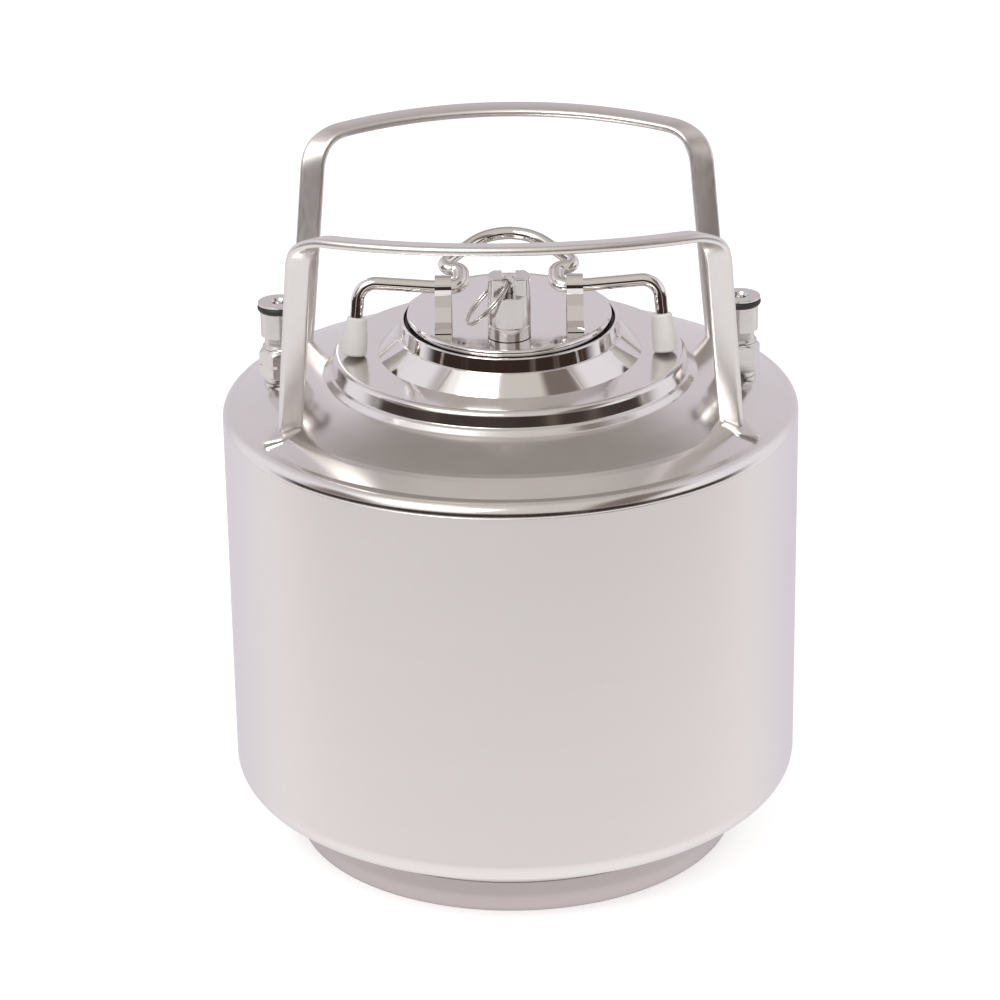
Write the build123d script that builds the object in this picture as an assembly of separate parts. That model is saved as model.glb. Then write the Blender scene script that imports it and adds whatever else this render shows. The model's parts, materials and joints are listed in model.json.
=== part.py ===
from build123d import *
import math
import os

# Six-litre ball-lock mini keg: a pressed steel vessel with two fixed handles, two valved posts, and an
# oval lid that a sprung wire bail clamps from the inside. Millimetres, +Z up, the front of the keg
# towards -Y, and the origin on the floor at the centre of the base ring.

# ---------------------------------------------------------------- driving dimensions
BODY_R = 111.0          # outside of the vessel wall
WALL = 1.2              # sheet thickness of the vessel
SEAM_Z = 173.4          # weld between the body shell and the top dome
WALL_FOOT_Z = 26.5      # where the wall's line meets the sloping bottom's line
FOOT_CORNER_R = 9.0     # round between wall and bottom
BOTTOM_Z = 8.0          # underside of the flat bottom
BASE_R = 88.4           # outside of the base ring
BASE_T = 2.0            # thickness of the base ring

RIM_TOP_Z = 178.7       # crease where the rolled rim meets the dome
RIM_R = 3.4             # round of the rolled rim
COLLAR_R = 67.6         # outside of the raised collar
LEDGE_Z = 197.3         # flat ledge that the bail's feet press on

CONE_FOOT = (50.6, 53.2)      # half axes (X, Y) where the neck cone leaves the ledge
CONE_TOP = (45.6, 50.0)       # half axes at the top of the neck cone
CONE_TOP_Z = 205.0
NECK = (41.6, 46.8)           # outside half axes of the upright neck band
NECK_T = 1.3
NECK_TOP_Z = 210.4

LID = (39.2, 44.4)            # half axes of the lid's rolled edge
LID_WALL = (38.2, 43.4)       # half axes of the lid's side wall
LID_FLANGE = (44.2, 48.6)     # half axes of the hidden flange under the neck
LID_TOP_Z = 212.6
LID_T = 1.6
LID_FLANGE_Z = 198.0

POST_X = 88.0                 # both posts stand on the X axis at this distance
POST_TOP_Z = 217.6
HEX_AF = 14.4                 # across flats of the post's hexagon
BUNG_Z = 188.0                # shoulder that the post screws down to

PRV_Y = -27.0                 # relief valve's centre on the lid
PRV_R = 8.1
RING_R = 11.2                 # pull ring, centre line
RING_WIRE_R = 0.5

PIVOT = (-4.0, 224.0)         # Y and Z of the bail's hinge axis
BAIL_WIRE_R = 2.5
BRACKET_X = 25.0
BRACKET_W = 6.3
BRACKET_T = 1.8
BOOT_LEAN = 8.5               # degrees that the bail's feet stand in front of the hinge
BOOT_REACH = 25.95            # hinge axis to the sole of the boot

STRAP_W = 9.6                 # handle strap section
STRAP_T = 3.3
STRAP_EDGE_R = 1.5
HANDLE_FOOT = (82.5, 45.5, 182.0)
HANDLE_CORNER = (75.5, 61.0, 263.6)
HANDLE_MIDDLE = (0.0, 85.5, 266.6)
HANDLE_CORNER_R = 13.0        # path length that each corner takes from its two runs
CORNER_STEPS = 8              # stations that shape a corner
BAR_STEPS = 14                # stations that shape the bar's bow
LEG_SINK = 4.0                # how far a leg is drawn below its foot before it is trimmed to the dome

LID_DROP = 0.9                # how far the lid settles when the bail lets go
POPPET_TRAVEL = 3.0
PRV_LIFT = 2.5

PARTS = "parts"


# ---------------------------------------------------------------- helpers
def shifted(points, distance):
    """Move an open outline sideways to the left of its direction, keeping its corners sharp."""
    def left_of(a, b):
        length = math.hypot(b[0] - a[0], b[1] - a[1])
        return ((a[1] - b[1]) / length, (b[0] - a[0]) / length)

    normals = [left_of(a, b) for a, b in zip(points, points[1:])]
    moved = []
    for i, (x, y) in enumerate(points):
        before = normals[max(i - 1, 0)]
        after = normals[min(i, len(normals) - 1)]
        share = distance / (1 + before[0] * after[0] + before[1] * after[1])
        moved.append((x + (before[0] + after[0]) * share, y + (before[1] + after[1]) * share))
    return moved


def shifted_radii(points, radii, distance):
    """Corner radii of the shifted outline, which shrink on the inside of a turn and grow on the outside."""
    changed = []
    for (a, b, c), radius in zip(zip(points, points[1:], points[2:]), radii):
        turn = (b[0] - a[0]) * (c[1] - b[1]) - (b[1] - a[1]) * (c[0] - b[0])
        changed.append(max(radius - math.copysign(distance, turn), 0.05))
    return changed


def sheet(points, radii, thickness):
    """Section of a bent sheet: an outline with rounded corners and its copy to the left of it."""
    outer = FilletPolyline(*points, radius=radii)
    inner_points = shifted(points, thickness)
    inner = FilletPolyline(*inner_points, radius=shifted_radii(points, radii, thickness))
    ends = [Line(points[0], inner_points[0]), Line(points[-1], inner_points[-1])]
    return make_face([*outer.edges(), *inner.edges(), *ends])


def turned(section):
    """Revolve a section drawn as (radius, height) about Z."""
    return revolve(Plane.XZ * section, Axis.Z)


def turned_outline(points):
    """Revolve a closed outline of (radius, height) points about Z."""
    return turned(make_face(Polyline(*points, close=True)))


def oval(half_axes, low, high, grow=0.0):
    """Upright oval disc between two heights, with its half axes grown by the same amount."""
    face = Ellipse(half_axes[0] + grow, half_axes[1] + grow)
    return extrude(Pos(0, 0, low) * face, high - low)


def oval_cone(foot_axes, foot_z, top_axes, top_z, grow=0.0):
    """Smooth solid between two ovals at different heights."""
    foot = Pos(0, 0, foot_z) * Ellipse(foot_axes[0] + grow, foot_axes[1] + grow)
    top = Pos(0, 0, top_z) * Ellipse(top_axes[0] + grow, top_axes[1] + grow)
    return loft([foot, top])


def tube_along(path, radius):
    """Round bar along a path."""
    return sweep(Plane(path @ 0, z_dir=path % 0) * Circle(radius), path=path)


def both_sides(half):
    """A solid and its mirror image across the YZ plane, joined."""
    return half + mirror(half, Plane.YZ)


def coil(radius, wire_r, low, high, turns):
    """Compression spring standing on Z, with its end turns just inside the two heights."""
    height = high - low - 2 * wire_r
    path = Pos(0, 0, low + wire_r) * Helix(height / turns, height, radius)
    section = Plane(path @ 0, z_dir=path % 0) * Circle(wire_r)
    return sweep(section, path=path, is_frenet=True)


# ---------------------------------------------------------------- vessel
SHELL_OUTLINE = [(0, BOTTOM_Z), (72, BOTTOM_Z), (BASE_R, 13.3), (BODY_R, WALL_FOOT_Z), (BODY_R, SEAM_Z)]
SHELL_RADII = [20, 8, FOOT_CORNER_R]

DOME_OUTLINE = [
    (BODY_R, SEAM_Z), (BODY_R, 177.4), (105.6, RIM_TOP_Z), (96.0, 182.9), (84.0, 186.0), (71.6, 188.9),
    (69.6, 191.0), (COLLAR_R, 191.6), (COLLAR_R, LEDGE_Z), (46.0, LEDGE_Z),
]
DOME_RADII = [RIM_R, 0.8, 30, 60, 1.6, 0.5, 0.8, 3.2]


def filled(outline, radii, ceiling):
    """Everything inside a vessel outline, used to trim what is welded onto it."""
    line = FilletPolyline(*outline, radius=radii)
    first, last = outline[0], outline[-1]
    corners = [last, (0, ceiling)]
    if first[0] > 0:
        corners.append((0, first[1]))
    closing = Polyline(*corners, first)
    return turned(make_face([*line.edges(), *closing.edges()]))


def body_shell():
    """Cylindrical wall and pressed bottom, one drawn cup."""
    return turned(sheet(SHELL_OUTLINE, SHELL_RADII, WALL))


def top_dome():
    """Shoulder with the rolled rim, the collar and its ledge, holed for the neck and the two bungs."""
    dome = turned(sheet(DOME_OUTLINE, DOME_RADII, WALL))
    dome -= oval(CONE_FOOT, LEDGE_Z - 2 * WALL, LEDGE_Z + WALL)
    for side in (-1, 1):
        dome -= Pos(side * POST_X, 0, BUNG_Z - 10) * Cylinder(BUNG_R, 20)
    return dome


def neck():
    """Oval throat that the lid closes: a cone, a rolled bead, and an upright band over a sealing shoulder."""
    outside = oval_cone(CONE_FOOT, LEDGE_Z - WALL, CONE_TOP, CONE_TOP_Z)
    outside += oval(NECK, CONE_TOP_Z - NECK_T, NECK_TOP_Z)
    inside = oval_cone(CONE_FOOT, LEDGE_Z - WALL, CONE_TOP, CONE_TOP_Z - NECK_T, grow=-NECK_T)
    throat = oval(NECK, LEDGE_Z - WALL, NECK_TOP_Z, grow=-NECK_T)
    solid = outside - inside - throat
    shoulder = solid.edges().filter_by(GeomType.LINE, reverse=True).group_by(Axis.Z)
    return fillet(shoulder[-1], 0.5)


def base_ring():
    """Skirt that the keg stands on, rolled in a little at the floor and welded under the bottom."""
    outline = [(BASE_R - 1.6, 0), (BASE_R - 1.6, 1.2), (BASE_R, 6), (BASE_R, 16)]
    section = sheet(outline, [3, 10], BASE_T)
    return turned(section) - filled(SHELL_OUTLINE, SHELL_RADII, SEAM_Z)


# ---------------------------------------------------------------- handles
def strap_section(origin, along, wide):
    """Rounded strap section standing across a path direction, with its wide side along another."""
    along = Vector(*along).normalized()
    wide = Vector(*wide)
    wide = (wide - along * wide.dot(along)).normalized()
    return Plane(origin, x_dir=wide, z_dir=along) * RectangleRounded(STRAP_W, STRAP_T, STRAP_EDGE_R)


def foot_tab(foot):
    """Three-sided tab at the bottom of a leg, welded down on the dome."""
    outline = make_face(Polyline((-2.0, -4.4), (9.5, -3.0), (13.5, 1.6), (3.0, 6.0), (-2.0, 4.4), close=True))
    away = math.degrees(math.atan2(-foot.Y, foot.X))
    plate = extrude(fillet(outline.vertices(), 1.0), 6.0)
    plate = Rot(0, 16, 0) * plate
    return Pos(foot.X, foot.Y, foot.Z - 1.4) * Rot(0, 0, -away) * plate


def mirrored(station):
    """The matching station on the other side, with its direction running on round the handle."""
    at, along, wide = station
    return Vector(-at.X, at.Y, at.Z), Vector(along.X, -along.Y, -along.Z), Vector(-wide.X, wide.Y, wide.Z)


def handle_stations():
    """Point, direction and wide side of the front strap from one leg, over both corners, to the other leg."""
    foot, corner, middle = (Vector(x, -y, z) for x, y, z in (HANDLE_FOOT, HANDLE_CORNER, HANDLE_MIDDLE))
    bar_line = ThreePointArc(corner, middle, Vector(-corner.X, corner.Y, corner.Z))
    bar_start = HANDLE_CORNER_R / bar_line.length
    bar_end = bar_line @ bar_start
    leg_end = corner - (corner - foot).normalized() * HANDLE_CORNER_R
    leg_wide = Vector(1, 0, 0)
    bar_wide = (bar_end - bar_line.arc_center).normalized()

    turn = []
    for i in range(CORNER_STEPS + 1):
        t = i / CORNER_STEPS
        over = t * t * (3 - 2 * t)
        at = leg_end * (1 - t) ** 2 + corner * (2 * t * (1 - t)) + bar_end * t ** 2
        along = (corner - leg_end) * (1 - t) + (bar_end - corner) * t
        turn.append((at, along, leg_wide * (1 - over) + bar_wide * over))
    bar = []
    for i in range(1, BAR_STEPS):
        u = bar_start + (1 - 2 * bar_start) * i / BAR_STEPS
        bar.append((bar_line @ u, bar_line % u, (bar_line @ u - bar_line.arc_center).normalized()))
    return turn + bar + [mirrored(station) for station in reversed(turn)]


def handle_leg(leg_end):
    """Right front leg below the corner, with its welded tab, trimmed to sit on the dome."""
    foot = Vector(HANDLE_FOOT[0], -HANDLE_FOOT[1], HANDLE_FOOT[2])
    at, along, wide = leg_end
    below = foot - along.normalized() * LEG_SINK
    leg = loft([strap_section(below, along, wide), strap_section(at, along, wide)], ruled=True)
    leg += foot_tab(foot)
    return leg - filled(DOME_OUTLINE, DOME_RADII, LEDGE_Z)


def handle(front=True):
    """One grab handle: two legs, and a bar between them with corners where the strap turns over."""
    stations = handle_stations()
    whole = loft([strap_section(*station) for station in stations], ruled=True)
    leg = handle_leg(stations[0])
    whole += leg
    whole += mirror(leg, Plane.YZ)
    return whole if front else mirror(whole, Plane.XZ)


# ---------------------------------------------------------------- posts and dip tubes
BUNG_R = 6.6
THREAD_R = 5.4                # bung's threaded spigot inside the post
TUBE_R = 3.0                  # dip tube outside
TUBE_BORE = 2.2
CAVITY_R = 4.6                # post's inside, where the poppet moves
SEAT_Z = 209.0                # foot of the conical seat inside the post
MOUTH_R = 2.6
LIP_R = 8.0                   # thin lip above the post's O-ring
POST_SEAL_R = 1.45            # section radius of the post's O-ring
SEAL_GROOVE_R = 5.3
SEAL_Z = POST_TOP_Z - 0.75 - POST_SEAL_R
FLANGE_Z = 199.0              # dip tube's flange, on its seal on top of the bung
POPPET_Z = 207.4              # underside of the poppet's head


def bung():
    """Welded fitting in the dome with a threaded spigot and two shallow grooves under its shoulder."""
    outline = [
        (3.6, 180.0), (BUNG_R, 180.0), (BUNG_R, 185.4), (5.9, 185.8), (5.9, 186.3), (BUNG_R, 186.7),
        (BUNG_R, BUNG_Z), (THREAD_R, BUNG_Z), (THREAD_R, FLANGE_Z - 1.5), (3.6, FLANGE_Z - 1.5),
    ]
    return turned_outline(outline)


def post(notched):
    """Ball-lock post: hexagon, flare, latch groove and O-ring groove, with the gas one notched."""
    outline = [
        (5.45, BUNG_Z), (9.0, BUNG_Z), (9.0, 198.2), (6.6, 199.3), (6.8, 200.0), (5.9, 200.9), (5.8, 203.6),
        (7.2, 204.3), (7.2, SEAL_Z - POST_SEAL_R), (SEAL_GROOVE_R, SEAL_Z - POST_SEAL_R),
        (SEAL_GROOVE_R, SEAL_Z + POST_SEAL_R), (LIP_R, SEAL_Z + POST_SEAL_R), (LIP_R, POST_TOP_Z - 0.2),
        (LIP_R - 0.2, POST_TOP_Z), (3.3, POST_TOP_Z), (MOUTH_R, POST_TOP_Z - 1.0), (MOUTH_R, 211.0),
        (CAVITY_R, SEAT_Z), (CAVITY_R, 201.4), (5.45, 200.6),
    ]
    solid = turned_outline(outline)
    corner_r = HEX_AF / math.sqrt(3)
    hexagon = extrude(Pos(0, 0, BUNG_Z - 1) * RegularPolygon(corner_r, 6, rotation=12), 13.1)
    hexagon &= turned_outline([(0, BUNG_Z), (7.4, BUNG_Z), (8.4, BUNG_Z + 0.8), (8.4, 197.2), (6.9, 198.8),
                               (6.9, 199.4), (0, 199.4)])
    above = Pos(0, 0, 199.3) * Cylinder(12, 30, align=(Align.CENTER, Align.CENTER, Align.MIN))
    solid = (solid & above) + (solid & hexagon)
    if notched:
        for i in range(6):
            turn = Rot(0, 0, 12 + 60 * i)
            solid -= turn * (Pos(corner_r, 0, 193.0) * Box(1.6, 3, 1.2))
    return solid


def dip_tube(path):
    """Bent tube with a flange on top that the post clamps."""
    tube = tube_along(path, TUBE_R) - tube_along(path, TUBE_BORE)
    flange = Pos(0, 0, FLANGE_Z + 0.5) * (Cylinder(5.2, 1.0) - Cylinder(TUBE_BORE, 1.0))
    return tube + flange


def gas_dip_tube():
    """Short tube that ends in the headspace."""
    return dip_tube(Line((0, 0, FLANGE_Z + 1.0), (0, 0, 166.0)))


def liquid_dip_tube():
    """Long tube that bends towards the middle and ends just above the bottom."""
    path = FilletPolyline((0, 0, FLANGE_Z + 1.0), (0, 0, 48.0), (-30.0, 0, 16.0), radius=40.0)
    return dip_tube(path)


def poppet():
    """Valve pin with a conical head and a spigot that centres its spring."""
    return turned_outline([
        (0, POPPET_Z - 1.6), (1.7, POPPET_Z - 1.6), (1.7, POPPET_Z), (4.1, POPPET_Z), (4.1, SEAT_Z - 0.5),
        (1.9, 211.4), (1.45, 211.9), (1.45, POST_TOP_Z - 0.6), (1.1, POST_TOP_Z - 0.2), (0, POST_TOP_Z - 0.2),
    ])


def ring_seal(radius, section_r, height):
    """O-ring lying flat at a height."""
    return Pos(0, 0, height) * Torus(radius, section_r)


# ---------------------------------------------------------------- lid
def lid_pan():
    """Pressed oval lid: a plate with a rolled edge, a side wall, and the flange that holds it inside."""
    plate = oval(LID, LID_TOP_Z - 3.0, LID_TOP_Z)
    plate = fillet(plate.edges().filter_by(GeomType.LINE, reverse=True), 1.35)
    pan = plate + oval(LID_WALL, LID_FLANGE_Z, LID_TOP_Z - 1.5)
    pan += oval(LID_FLANGE, LID_FLANGE_Z, LID_FLANGE_Z + LID_T)
    pan -= oval(LID_WALL, LID_FLANGE_Z, LID_TOP_Z - LID_T, grow=-LID_T)
    return pan - Pos(0, PRV_Y, LID_TOP_Z) * Cylinder(6.8, 10)


SEAL_R = 1.75
SEAL_MID = (42.3, 47.1)       # half axes of the round part of the lid seal


def lid_seal():
    """Rubber ring on the flange with a lip standing up in the gap round the lid."""
    rim = Pos(0, 0, LID_FLANGE_Z + LID_T + SEAL_R) * Ellipse(*SEAL_MID).edge()
    bead = sweep(Plane(rim @ 0, z_dir=rim % 0) * Circle(SEAL_R), path=rim)
    web_low = LID_FLANGE_Z + LID_T + 0.4
    web = oval(SEAL_MID, web_low, web_low + 2.6)
    lip = oval(LID_WALL, web_low, NECK_TOP_Z - 1.4, grow=1.7)
    return bead + (web + lip - oval(LID_WALL, web_low, NECK_TOP_Z, grow=0.15))


def bracket(side):
    """Strap folded over the bail's rod, with a stepped front leg and a short rear one, welded to the lid."""
    y, z = PIVOT
    half = BRACKET_T / 2
    curl_r = BAIL_WIRE_R + 0.08
    mid_r = curl_r + half
    floor = LID_TOP_Z + half
    front = [(y - 21.0, floor), (y - 13.2, floor), (y - 8.9, 218.2), (y - mid_r, 221.2), (y - mid_r, z)]
    rear = [(y + mid_r, z), (y + mid_r, floor), (y + 10.5, floor)]
    front_face = sheet(shifted(front, -half), [1.2, 1.6, 1.0], BRACKET_T)
    rear_face = sheet(shifted(rear, -half), [1.6], BRACKET_T)
    curl = Pos(y, z) * (Circle(curl_r + BRACKET_T) - Circle(curl_r))
    curl &= Pos(y, z + 10) * Rectangle(20, 20)
    section = front_face + rear_face + curl
    face = Plane.YZ * section
    return Pos(side * BRACKET_X - BRACKET_W / 2, 0, 0) * extrude(face, BRACKET_W)


# ---------------------------------------------------------------- relief valve
PRV_SEAM_Z = 217.4            # joint between the base and the screwed body
PRV_TOP_Z = 229.6
LUG_TOP_Z = 236.6
LUG_R = 7.9
LUG_DEPTH = 10.8
SLOT_W = 5.0
PORT_R = 3.0
SEAT_TOP_Z = 213.6
EYE_Z = 234.0
EYE_R = 2.3
EYE_HOLE_R = 1.35


def prv_base():
    """Seat piece screwed through the lid."""
    return turned_outline([
        (PORT_R, 207.6), (6.8, 207.6), (6.8, LID_TOP_Z), (PRV_R, LID_TOP_Z), (PRV_R, PRV_SEAM_Z - 0.3),
        (PRV_R - 0.3, PRV_SEAM_Z), (6.8, PRV_SEAM_Z), (6.8, 215.6), (5.6, 215.6), (5.6, SEAT_TOP_Z - 0.9),
        (PORT_R + 1.0, SEAT_TOP_Z - 0.9), (PORT_R + 0.6, SEAT_TOP_Z), (PORT_R, SEAT_TOP_Z),
    ])


def prv_body():
    """Cap over the spring, with two lugs either side of the slot that the ring swings in."""
    cap = turned_outline([
        (5.6, 215.7), (6.7, 215.7), (6.7, PRV_SEAM_Z), (PRV_R - 0.3, PRV_SEAM_Z), (PRV_R, PRV_SEAM_Z + 0.3),
        (PRV_R, PRV_TOP_Z - 0.4), (PRV_R - 0.4, PRV_TOP_Z), (1.8, PRV_TOP_Z), (1.8, 227.4), (5.6, 227.4),
    ])
    stand = (Align.CENTER, Align.CENTER, Align.MIN)
    lugs = Pos(0, 0, PRV_TOP_Z) * Cylinder(LUG_R, LUG_TOP_Z - PRV_TOP_Z, align=stand)
    lugs &= Pos(0, 0, PRV_TOP_Z) * Box(20, LUG_DEPTH, 20, align=stand)
    lugs -= Pos(0, 0, PRV_TOP_Z) * Box(SLOT_W, 20, 20, align=stand)
    lugs = fillet(lugs.faces().sort_by(Axis.Z)[-2:].edges(), 0.6)
    return cap + lugs


def prv_stem():
    """Rod with the valve disc at its foot and an eye for the ring at its top."""
    rod = turned_outline([
        (0, 213.0), (1.5, 213.0), (1.5, 214.9), (4.7, 214.9), (4.7, 216.1), (1.5, 216.1),
        (1.5, EYE_Z - 1.5), (0, EYE_Z - 1.5),
    ])
    eye = Rot(90, 0, 0) * (Cylinder(EYE_R, 2.6) - Cylinder(EYE_HOLE_R, 2.6))
    eye_hole = Pos(0, 0, EYE_Z) * Rot(90, 0, 0) * Cylinder(EYE_HOLE_R, 6)
    return rod - eye_hole + Pos(0, 0, EYE_Z) * eye


def prv_seal():
    """Rubber washer under the valve disc."""
    return Pos(0, 0, 214.25) * (Cylinder(4.7, 1.3) - Cylinder(1.5, 1.3))


def pull_ring():
    """Split ring of two close turns through the stem's eye, hanging down to the left."""
    turn = Torus(RING_R, RING_WIRE_R)
    step = RING_WIRE_R * 0.96
    ring = Pos(0, 0, -step) * turn + Pos(0, 0, step) * turn
    return Pos(0, 0, EYE_Z) * Rot(0, -45, 0) * Pos(-RING_R, 0, 0) * ring


# ---------------------------------------------------------------- bail
LOOP_RISE = 22.0              # degrees that the closed loop slopes up towards the back
ARM_RISE = 4.5                # degrees that each arm slopes up away from its bracket
LOOP_TURN_X = 18.2            # where the rod turns back beside each bracket
LOOP_TURN_BACK = 10.0         # hinge axis to the length that runs out again behind the bracket
LOOP_HALF_W = 28.0
LOOP_TOP_HALF_W = 8.6         # where the sloping sides meet the line across the loop's far end
LOOP_REACH = 30.6             # hinge axis to the far end of the loop
TURN_RADII = [3.6, 3.5, 2.65, 19.8]
PAD_W = 6.4
PAD_T = 3.4
PAD_EDGE_R = 1.2


def loop_point(x, back):
    """A point of the bail's loop, by its distance behind the hinge axis."""
    rise = math.radians(LOOP_RISE)
    return (x, PIVOT[0] + back * math.cos(rise), PIVOT[1] + back * math.sin(rise))


def leg_point(x, down):
    """A point of a bail leg, by its distance below the hinge axis."""
    lean = math.radians(BOOT_LEAN)
    return (x, PIVOT[0] - down * math.sin(lean), PIVOT[1] - down * math.cos(lean))


ARM_START_X = 29.4
LEG_TOP_X = 56.9
BOOT_X = 59.4
LEG_TOP_RISE = (LEG_TOP_X - ARM_START_X) * math.tan(math.radians(ARM_RISE))


def bail_wire():
    """Sprung wire clamp, bent from one rod and flattened where it turns beside each bracket."""
    points = [
        leg_point(BOOT_X, BOOT_REACH - 2.2),
        leg_point(LEG_TOP_X, -LEG_TOP_RISE),
        (ARM_START_X, *PIVOT),
        (LOOP_TURN_X, *PIVOT),
        loop_point(LOOP_TURN_X, LOOP_TURN_BACK),
        loop_point(LOOP_HALF_W, LOOP_TURN_BACK),
        loop_point(LOOP_TOP_HALF_W, LOOP_REACH),
        loop_point(0, LOOP_REACH),
    ]
    path = FilletPolyline(*points, radius=[7.0, 20.0, *TURN_RADII])
    half = tube_along(path, BAIL_WIRE_R)

    pad_start = (BRACKET_X - BRACKET_W / 2, *PIVOT)
    pad_end = loop_point(LOOP_HALF_W - 5.0, LOOP_TURN_BACK)
    pad_path = FilletPolyline(pad_start, *points[3:5], pad_end, radius=TURN_RADII[:2])
    rise = math.radians(LOOP_RISE)
    across = Vector(0, math.cos(rise), math.sin(rise))
    pad_plane = Plane(pad_path @ 0, x_dir=across, z_dir=pad_path % 0)
    half += sweep(pad_plane * RectangleRounded(PAD_W, PAD_T, PAD_EDGE_R), path=pad_path)
    return both_sides(half)


def boot(side):
    """Moulded foot pushed onto the end of a bail leg, wider at its sole."""
    sole = Vector(*leg_point(BOOT_X, BOOT_REACH))
    knee = Vector(*leg_point(LEG_TOP_X, -LEG_TOP_RISE))
    up = (knee - Vector(*leg_point(BOOT_X, BOOT_REACH - 2.2))).normalized()
    body = turned_outline([(0, 0), (4.2, 0), (4.75, 0.6), (4.75, 5.0), (3.9, 14.0), (3.5, 14.5), (0, 14.5)])
    lean = Plane(sole, x_dir=(0, 1, 0), z_dir=up)
    body = lean * body
    leg_hole = Plane(Vector(*leg_point(BOOT_X, BOOT_REACH - 2.2)), z_dir=up) * Cylinder(
        BAIL_WIRE_R, 40, align=(Align.CENTER, Align.CENTER, Align.MIN))
    body -= leg_hole
    return body if side > 0 else mirror(body, Plane.YZ)


# ---------------------------------------------------------------- all nodes
def at_post(side, solid):
    """Move a solid drawn on the Z axis to one of the posts."""
    return Pos(side * POST_X, 0, 0) * solid


def at_prv(solid):
    """Move a solid drawn on the Z axis to the relief valve."""
    return Pos(0, PRV_Y, 0) * solid


def post_nodes(name, side, tube):
    """All the pieces of one post, keyed by node name."""
    return {
        name + "_bung": at_post(side, bung()),
        name + "_post": at_post(side, post(notched=name == "gas")),
        name + "_post_oring": at_post(side, ring_seal(SEAL_GROOVE_R + POST_SEAL_R, POST_SEAL_R, SEAL_Z)),
        name + "_dip_tube": at_post(side, tube),
        name + "_dip_tube_oring": at_post(side, ring_seal(4.2, 0.75, FLANGE_Z - 0.75)),
        name + "_poppet": at_post(side, poppet()),
        name + "_poppet_spring": at_post(side, coil(2.9, 0.35, FLANGE_Z + 1.0, POPPET_Z, 4)),
    }


def all_nodes():
    """Every node of the keg, keyed by name."""
    nodes = {
        "body_shell": body_shell(),
        "top_dome": top_dome(),
        "neck": neck(),
        "base_ring": base_ring(),
        "front_handle": handle(front=True),
        "rear_handle": handle(front=False),
        "lid_pan": lid_pan(),
        "lid_seal": lid_seal(),
        "left_bracket": bracket(-1),
        "right_bracket": bracket(1),
        "prv_base": at_prv(prv_base()),
        "prv_body": at_prv(prv_body()),
        "prv_spring": at_prv(coil(3.6, 0.4, 216.1, 227.4, 5)),
        "prv_stem": at_prv(prv_stem()),
        "prv_seal": at_prv(prv_seal()),
        "pull_ring": at_prv(pull_ring()),
        "bail_wire": bail_wire(),
        "left_boot": boot(-1),
        "right_boot": boot(1),
    }
    nodes.update(post_nodes("gas", -1, gas_dip_tube()))
    nodes.update(post_nodes("liquid", 1, liquid_dip_tube()))
    return nodes


os.makedirs(PARTS, exist_ok=True)
for node_name, node_solid in all_nodes().items():
    export_step(node_solid, os.path.join(PARTS, node_name + ".step"))
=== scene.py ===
import json
import math

import bmesh
import bpy
from mathutils import Matrix, Vector

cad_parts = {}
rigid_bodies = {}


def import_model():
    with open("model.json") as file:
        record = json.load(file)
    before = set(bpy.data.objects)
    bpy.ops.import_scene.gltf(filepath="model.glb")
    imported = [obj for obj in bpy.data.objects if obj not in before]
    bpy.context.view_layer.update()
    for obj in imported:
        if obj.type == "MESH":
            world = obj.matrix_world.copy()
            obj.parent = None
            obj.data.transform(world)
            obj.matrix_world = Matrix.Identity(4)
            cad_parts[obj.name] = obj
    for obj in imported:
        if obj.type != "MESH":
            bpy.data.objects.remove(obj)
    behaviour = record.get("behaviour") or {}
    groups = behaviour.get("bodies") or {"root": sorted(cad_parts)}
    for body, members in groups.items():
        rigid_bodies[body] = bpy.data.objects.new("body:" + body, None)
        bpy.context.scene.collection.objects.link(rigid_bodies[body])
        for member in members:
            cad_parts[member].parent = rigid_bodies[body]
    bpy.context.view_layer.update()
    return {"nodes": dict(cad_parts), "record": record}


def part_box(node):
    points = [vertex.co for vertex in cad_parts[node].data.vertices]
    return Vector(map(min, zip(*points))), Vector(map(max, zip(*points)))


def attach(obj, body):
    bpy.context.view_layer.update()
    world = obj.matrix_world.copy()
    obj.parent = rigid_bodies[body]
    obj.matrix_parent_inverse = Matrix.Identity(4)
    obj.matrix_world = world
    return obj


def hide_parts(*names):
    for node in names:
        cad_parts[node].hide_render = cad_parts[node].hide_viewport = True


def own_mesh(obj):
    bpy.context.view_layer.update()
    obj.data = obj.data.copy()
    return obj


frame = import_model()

# Looks for a six-litre ball-lock mini keg. Sizes of its pieces are in millimetres until a mesh is made, and
# every mesh is made in metres in the frame's own coordinates: +Z up, the front of the keg towards -Y. The
# camera, the lights and the studio are placed in metres.

MM = 0.001

# ---------------------------------------------------------------- driving dimensions
SHELL_OUTLINE = [(0, 8.0), (72.0, 8.0), (88.4, 13.3), (111.0, 26.5), (111.0, 173.4)]
SHELL_RADII = [20, 8, 9]
DOME_OUTLINE = [
    (111.0, 173.4), (111.0, 177.4), (105.6, 178.7), (96.0, 182.9), (84.0, 186.0), (71.6, 188.9),
    (69.8, 190.8), (68.7, 191.4), (67.4, 197.3), (46.0, 197.3),
]
DOME_RADII = [4.9, 0.8, 30, 60, 1.6, 0.4, 0.5, 2.4]
BASE_OUTLINE = [(86.8, 0), (86.8, 1.2), (88.4, 6.0), (88.4, 13.2)]
BASE_RADII = [3, 10]
WALL = 1.2
BASE_T = 2.0
LEDGE_Z = 197.3
LEDGE_LAP = 1.0         # how far the ledge runs in under the foot of the cone

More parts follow.
